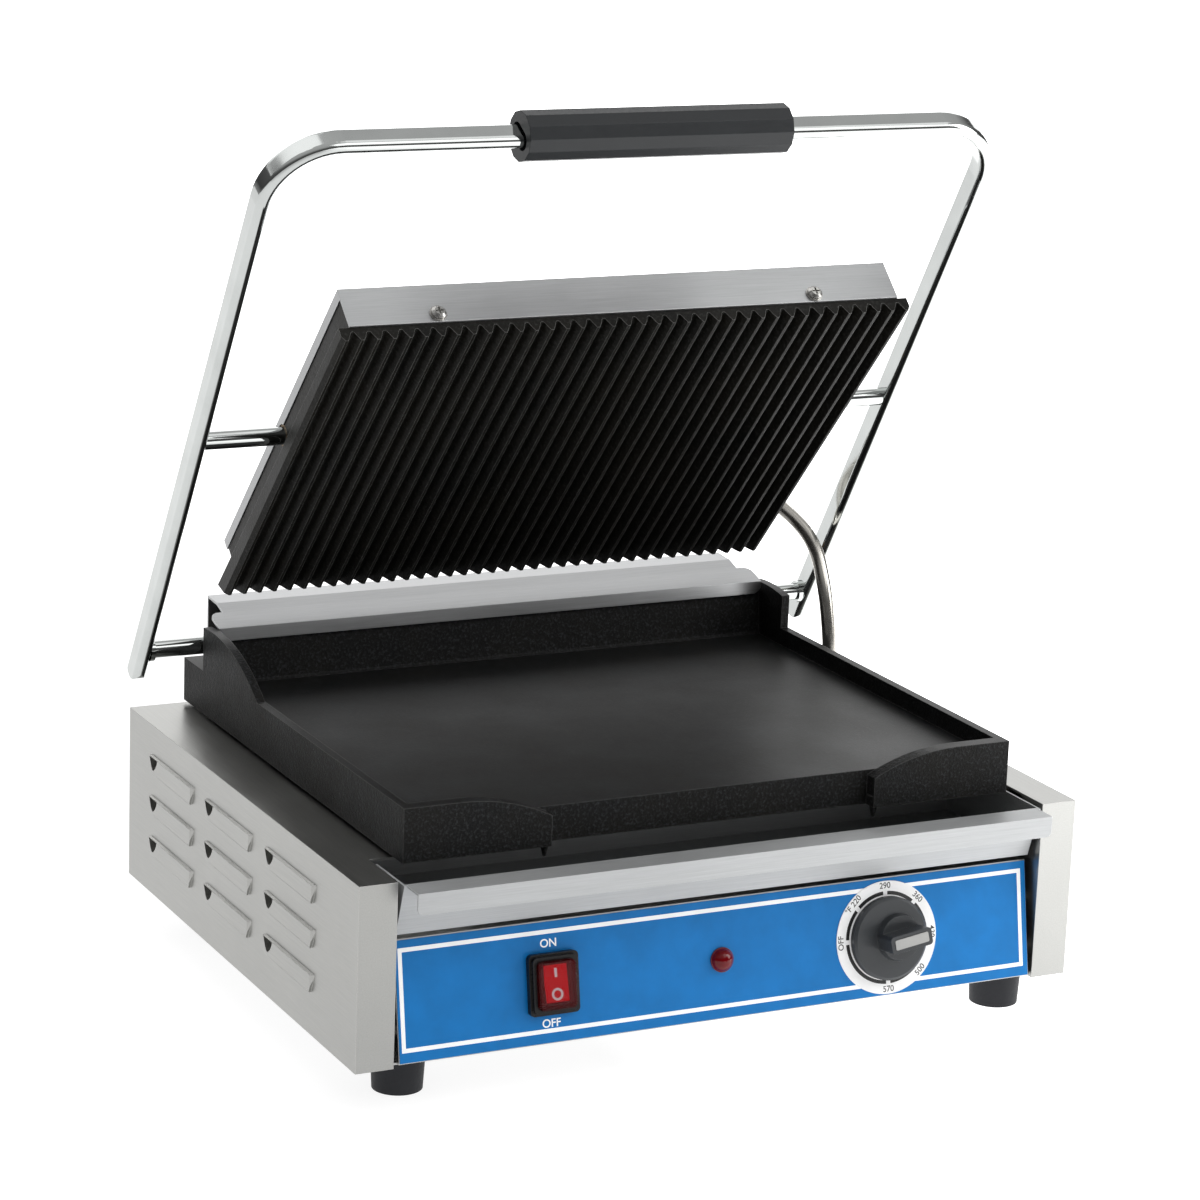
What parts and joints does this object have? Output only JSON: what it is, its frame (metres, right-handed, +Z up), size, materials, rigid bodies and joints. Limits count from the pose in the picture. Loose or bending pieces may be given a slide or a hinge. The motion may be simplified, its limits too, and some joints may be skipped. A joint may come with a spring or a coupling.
{
  "type": "panini press",
  "caption": "Countertop panini press with a smooth lower plate, a ribbed upper plate hung in a U-shaped handle, a drip tray, a rocker switch and a heat dial.",
  "frame": {"origin": "middle of the footprint, on the surface the feet stand on", "axes": "+X to the right as seen from the control panel, +Y towards the hinge at the back, +Z up; the lid is stored open"},
  "size_m": [0.4314, 0.3679, 0.4896],
  "materials": {
    "stainless_sheet": "brushed",
    "polished_bar": "polished",
    "tray_steel": "satin",
    "cast_iron_smooth": "machined and blacked",
    "cast_iron_ribbed": "cast and machined",
    "black_rubber": "matt",
    "grip_rubber": "satin",
    "zinc_steel": "zinc plated",
    "brass_parts": "plain",
    "blue_print": "printed film",
    "dial_print": "printed film",
    "knob_plastic": "satin",
    "knob_insert": "satin",
    "switch_plastic": "moulded",
    "clear_boot": "clear flexible",
    "red_rocker": "translucent",
    "red_lens": "translucent",
    "pale_plastic": "moulded",
    "wire_sleeve": "woven",
    "element_sheath": "heat darkened",
    "mineral_wool": "fibrous",
    "pan_steel": "aluminised",
    "copper_tube": "plain",
    "gland_plastic": "moulded",
    "spring_steel": "oiled",
    "bronze_bush": "sintered"
  },
  "bodies": {
    "base": {"housing": "stainless_sheet", "bottom_cover": "pan_steel", "rear_panel": "stainless_sheet", "control_panel": "stainless_sheet", "panel_overlay": "blue_print", "dial_plate": "dial_print", "panel_screws": "zinc_steel", "rear_screws": "zinc_steel", "foot_front_left": "black_rubber", "foot_front_right": "black_rubber", "foot_rear_left": "black_rubber", "foot_rear_right": "black_rubber", "foot_screws": "zinc_steel", "foot_nuts": "zinc_steel", "tray_rails": "pan_steel", "lower_plate": "cast_iron_smooth", "plate_studs": "zinc_steel", "plate_spacers": "zinc_steel", "lower_element": "element_sheath", "lower_clamp": "pan_steel", "lower_insulation": "mineral_wool", "lower_pan": "pan_steel", "thermostat_body": "pale_plastic", "thermostat_bulb": "copper_tube", "switch_body": "switch_plastic", "switch_terminals": "brass_parts", "switch_boot": "clear_boot", "lamp_body": "pale_plastic", "lamp_lens": "red_lens", "terminal_block": "pale_plastic", "wiring_loom": "wire_sleeve", "cable_gland": "gland_plastic", "gland_nut": "gland_plastic", "earth_stud": "brass_parts", "hinge_bracket_left": "cast_iron_smooth", "hinge_bracket_right": "cast_iron_smooth", "hinge_bushes": "bronze_bush", "bracket_screws": "zinc_steel", "hinge_cover": "stainless_sheet", "torsion_springs": "spring_steel", "deck_gland": "zinc_steel", "conduit_lower": "polished_bar"},
    "handle": {"handle_frame": "polished_bar", "grip": "grip_rubber", "hinge_axle": "polished_bar", "pivot_rods": "polished_bar"},
    "lid": {"upper_plate": "cast_iron_ribbed", "upper_element": "element_sheath", "upper_clamp": "pan_steel", "upper_insulation": "mineral_wool", "upper_cover": "stainless_sheet", "cover_screws": "zinc_steel", "pivot_bushes": "bronze_bush", "cover_gland": "zinc_steel", "conduit_upper": "polished_bar"},
    "tray": {"drip_tray": "tray_steel"},
    "dial": {"knob": "knob_plastic", "knob_insert": "knob_insert", "thermostat_shaft": "zinc_steel"},
    "rocker": {"rocker": "red_rocker"}
  },
  "joints": [
    {"name": "lid_lift", "type": "hinge", "parent": "base", "child": "handle", "pos_m": [0, 0.143, 0.165], "axis": [1, 0, 0], "range_deg": [0, 57.4], "stiffness_Nm_per_rad": 3.8, "springref_deg": -137.51, "deforming": ["torsion_springs", "conduit_lower"]},
    {"name": "platen_tilt", "type": "hinge", "parent": "handle", "child": "lid", "pos_m": [0, 0.06059, 0.30215], "axis": [1, 0, 0], "range_deg": [-9.9, 0], "deforming": ["conduit_upper"]},
    {"name": "tray_slide", "type": "slide", "parent": "base", "child": "tray", "axis": [0, -1, 0], "range_m": [0, 0.09]},
    {"name": "knob_turn", "type": "hinge", "parent": "base", "child": "dial", "pos_m": [0.098, -0.16223, 0.05902], "axis": [0, -0.9848, 0.1736], "range_deg": [-98, 172]},
    {"name": "rocker_tilt", "type": "hinge", "parent": "base", "child": "rocker", "pos_m": [-0.1, -0.16321, 0.05919], "axis": [1, 0, 0], "range_deg": [0, 14]}
  ],
  "couplings": [
    {"joint": "platen_tilt", "follows": "lid_lift", "ratio": -0.17247}
  ]
}
